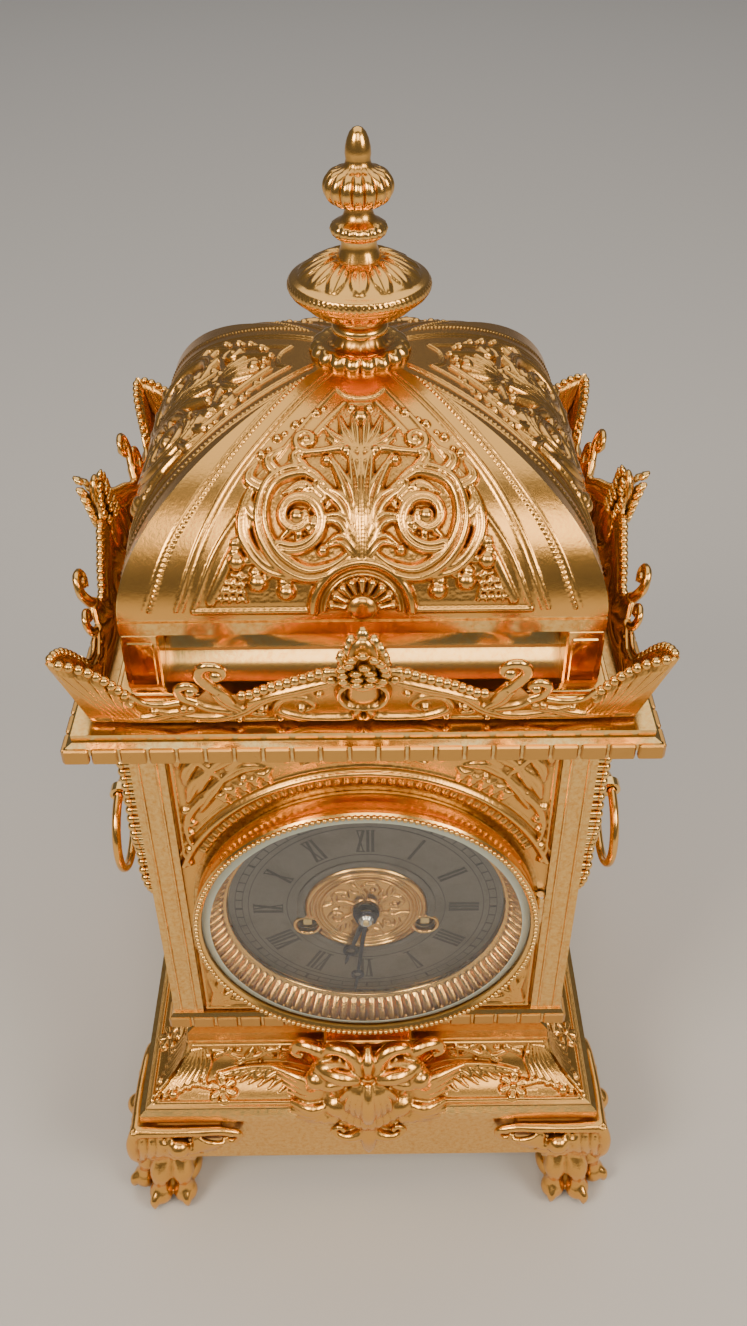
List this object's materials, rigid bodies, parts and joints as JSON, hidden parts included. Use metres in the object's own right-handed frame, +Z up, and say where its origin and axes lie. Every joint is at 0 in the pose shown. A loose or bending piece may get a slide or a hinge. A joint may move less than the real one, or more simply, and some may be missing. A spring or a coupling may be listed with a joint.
{
  "type": "mantel clock",
  "caption": "Square gilt brass mantel clock with a domed top, urn finial, pierced gallery, round glazed dial, ring handles and paw feet.",
  "frame": {"origin": "on the floor under the centre of the square case and its finial", "axes": "+Z up, the dial faces -Y, +X to the right of someone who looks at the dial"},
  "size_m": [0.1952, 0.188, 0.38],
  "materials": {
    "gilt_brass": "burnished and matted gilding, darker in the recesses",
    "movement_brass": "straight grained, lacquered",
    "silvered_brass": "matt silvering",
    "steel": "polished",
    "blued_steel": "blued and polished",
    "bell_metal": "nickelled bell bronze, satin",
    "dial_glass": "clear, bevelled edge"
  },
  "bodies": {
    "case": {"base_plinth": "gilt_brass", "foot_front_left": "gilt_brass", "foot_front_right": "gilt_brass", "foot_rear_left": "gilt_brass", "foot_rear_right": "gilt_brass", "foot_bolts": "steel", "plinth_mask": "gilt_brass", "front_panel": "gilt_brass", "left_panel": "gilt_brass", "right_panel": "gilt_brass", "rear_panel": "gilt_brass", "corner_pilasters": "gilt_brass", "cornice": "gilt_brass", "gallery_front": "gilt_brass", "gallery_rear": "gilt_brass", "gallery_left": "gilt_brass", "gallery_right": "gilt_brass", "dome_collar": "gilt_brass", "dome_shell": "gilt_brass", "finial_base": "gilt_brass", "finial_urn": "gilt_brass", "finial_knop": "gilt_brass", "finial_rod": "movement_brass", "handle_boss_left": "gilt_brass", "handle_boss_right": "gilt_brass", "casing_ring": "gilt_brass", "hinge_pins": "steel", "dial_plate": "movement_brass", "chapter_ring": "silvered_brass", "dial_centre": "gilt_brass", "front_plate": "movement_brass", "back_plate": "movement_brass", "plate_pillars": "movement_brass", "movement_straps": "movement_brass", "suspension_cock": "movement_brass", "bell": "bell_metal", "bell_stand": "steel"},
    "bezel_door": {"bezel_ring": "gilt_brass", "bezel_glass": "dial_glass", "sight_ring": "gilt_brass"},
    "rear_door": {"rear_door": "gilt_brass"},
    "left_ring": {"ring_handle_left": "gilt_brass"},
    "right_ring": {"ring_handle_right": "gilt_brass"},
    "minute_hand": {"minute_hand": "blued_steel", "hand_collet": "steel", "cannon_pinion": "steel"},
    "hour_hand": {"hour_hand": "blued_steel", "hour_wheel": "movement_brass"},
    "minute_wheel": {"minute_wheel": "movement_brass"},
    "third_wheel": {"third_wheel": "movement_brass"},
    "centre_arbor": {"centre_arbor": "movement_brass"},
    "intermediate_wheel": {"intermediate_wheel": "movement_brass"},
    "time_barrel": {"time_barrel": "movement_brass"},
    "escape_wheel": {"escape_wheel": "movement_brass"},
    "pin_wheel": {"pin_wheel": "movement_brass"},
    "strike_barrel": {"strike_barrel": "movement_brass"},
    "fly": {"fly": "movement_brass"},
    "pendulum": {"pendulum": "movement_brass"},
    "pallet_anchor": {"pallet_anchor": "steel"},
    "hammer": {"hammer": "steel"}
  },
  "joints": [
    {"name": "bezel_door_hinge", "type": "hinge", "parent": "case", "child": "bezel_door", "pos_m": [0.0571, -0.0703, 0.154], "axis": [0, 0, 1], "range_deg": [0, 95]},
    {"name": "rear_door_hinge", "type": "hinge", "parent": "case", "child": "rear_door", "pos_m": [0.0512, 0.0712, 0.154], "axis": [0, 0, -1], "range_deg": [0, 100]},
    {"name": "left_ring_swing", "type": "hinge", "parent": "case", "child": "left_ring", "pos_m": [-0.0942, 0, 0.1395], "axis": [0, 1, 0], "range_deg": [-30, 95]},
    {"name": "right_ring_swing", "type": "hinge", "parent": "case", "child": "right_ring", "pos_m": [0.0942, 0, 0.1395], "axis": [0, -1, 0], "range_deg": [-30, 95]},
    {"name": "minute_hand_turn", "type": "hinge", "parent": "case", "child": "minute_hand", "pos_m": [0, 0, 0.154], "axis": [0, 1, 0], "continuous": true},
    {"name": "hour_hand_turn", "type": "hinge", "parent": "case", "child": "hour_hand", "pos_m": [0, 0, 0.154], "axis": [0, 1, 0], "continuous": true},
    {"name": "minute_wheel_turn", "type": "hinge", "parent": "case", "child": "minute_wheel", "pos_m": [0, 0, 0.163], "axis": [0, 1, 0], "continuous": true},
    {"name": "third_wheel_turn", "type": "hinge", "parent": "case", "child": "third_wheel", "pos_m": [-0.00878, 0, 0.16426], "axis": [0, 1, 0], "continuous": true},
    {"name": "centre_arbor_turn", "type": "hinge", "parent": "case", "child": "centre_arbor", "pos_m": [0, 0, 0.154], "axis": [0, 1, 0], "continuous": true},
    {"name": "intermediate_wheel_turn", "type": "hinge", "parent": "case", "child": "intermediate_wheel", "pos_m": [0.0096, 0, 0.16391], "axis": [0, 1, 0], "continuous": true},
    {"name": "time_barrel_turn", "type": "hinge", "parent": "case", "child": "time_barrel", "pos_m": [0.0197, 0, 0.1455], "axis": [0, 1, 0], "continuous": true},
    {"name": "escape_wheel_turn", "type": "hinge", "parent": "case", "child": "escape_wheel", "pos_m": [0, 0, 0.1735], "axis": [0, 1, 0], "continuous": true},
    {"name": "pin_wheel_turn", "type": "hinge", "parent": "case", "child": "pin_wheel", "pos_m": [-0.0062, 0, 0.12941], "axis": [0, 1, 0], "continuous": true},
    {"name": "strike_barrel_turn", "type": "hinge", "parent": "case", "child": "strike_barrel", "pos_m": [-0.0197, 0, 0.1455], "axis": [0, 1, 0], "continuous": true},
    {"name": "fly_turn", "type": "hinge", "parent": "case", "child": "fly", "pos_m": [0.0024, 0, 0.12339], "axis": [0, 1, 0], "continuous": true},
    {"name": "pendulum_swing", "type": "hinge", "parent": "case", "child": "pendulum", "pos_m": [0, -0.0095, 0.184], "axis": [0, 1, 0], "range_deg": [-3, 3]},
    {"name": "anchor_rock", "type": "hinge", "parent": "case", "child": "pallet_anchor", "pos_m": [0, 0, 0.184], "axis": [0, 1, 0], "range_deg": [-3.5, 3.5]},
    {"name": "hammer_lift", "type": "hinge", "parent": "case", "child": "hammer", "pos_m": [-0.027, 0, 0.125], "axis": [0, -1, 0], "range_deg": [0, 12], "stiffness_Nm_per_rad": 0.002, "springref_deg": -17.19}
  ],
  "couplings": [
    {"joint": "hour_hand_turn", "follows": "minute_hand_turn", "ratio": 0.083333},
    {"joint": "minute_wheel_turn", "follows": "minute_hand_turn", "ratio": -0.33333},
    {"joint": "centre_arbor_turn", "follows": "third_wheel_turn", "ratio": -0.125},
    {"joint": "intermediate_wheel_turn", "follows": "third_wheel_turn", "ratio": 0.025},
    {"joint": "time_barrel_turn", "follows": "third_wheel_turn", "ratio": -0.0033784},
    {"joint": "escape_wheel_turn", "follows": "third_wheel_turn", "ratio": -7.5},
    {"joint": "strike_barrel_turn", "follows": "pin_wheel_turn", "ratio": -0.13514},
    {"joint": "fly_turn", "follows": "pin_wheel_turn", "ratio": -6},
    {"joint": "anchor_rock", "follows": "pendulum_swing", "ratio": 1}
  ]
}
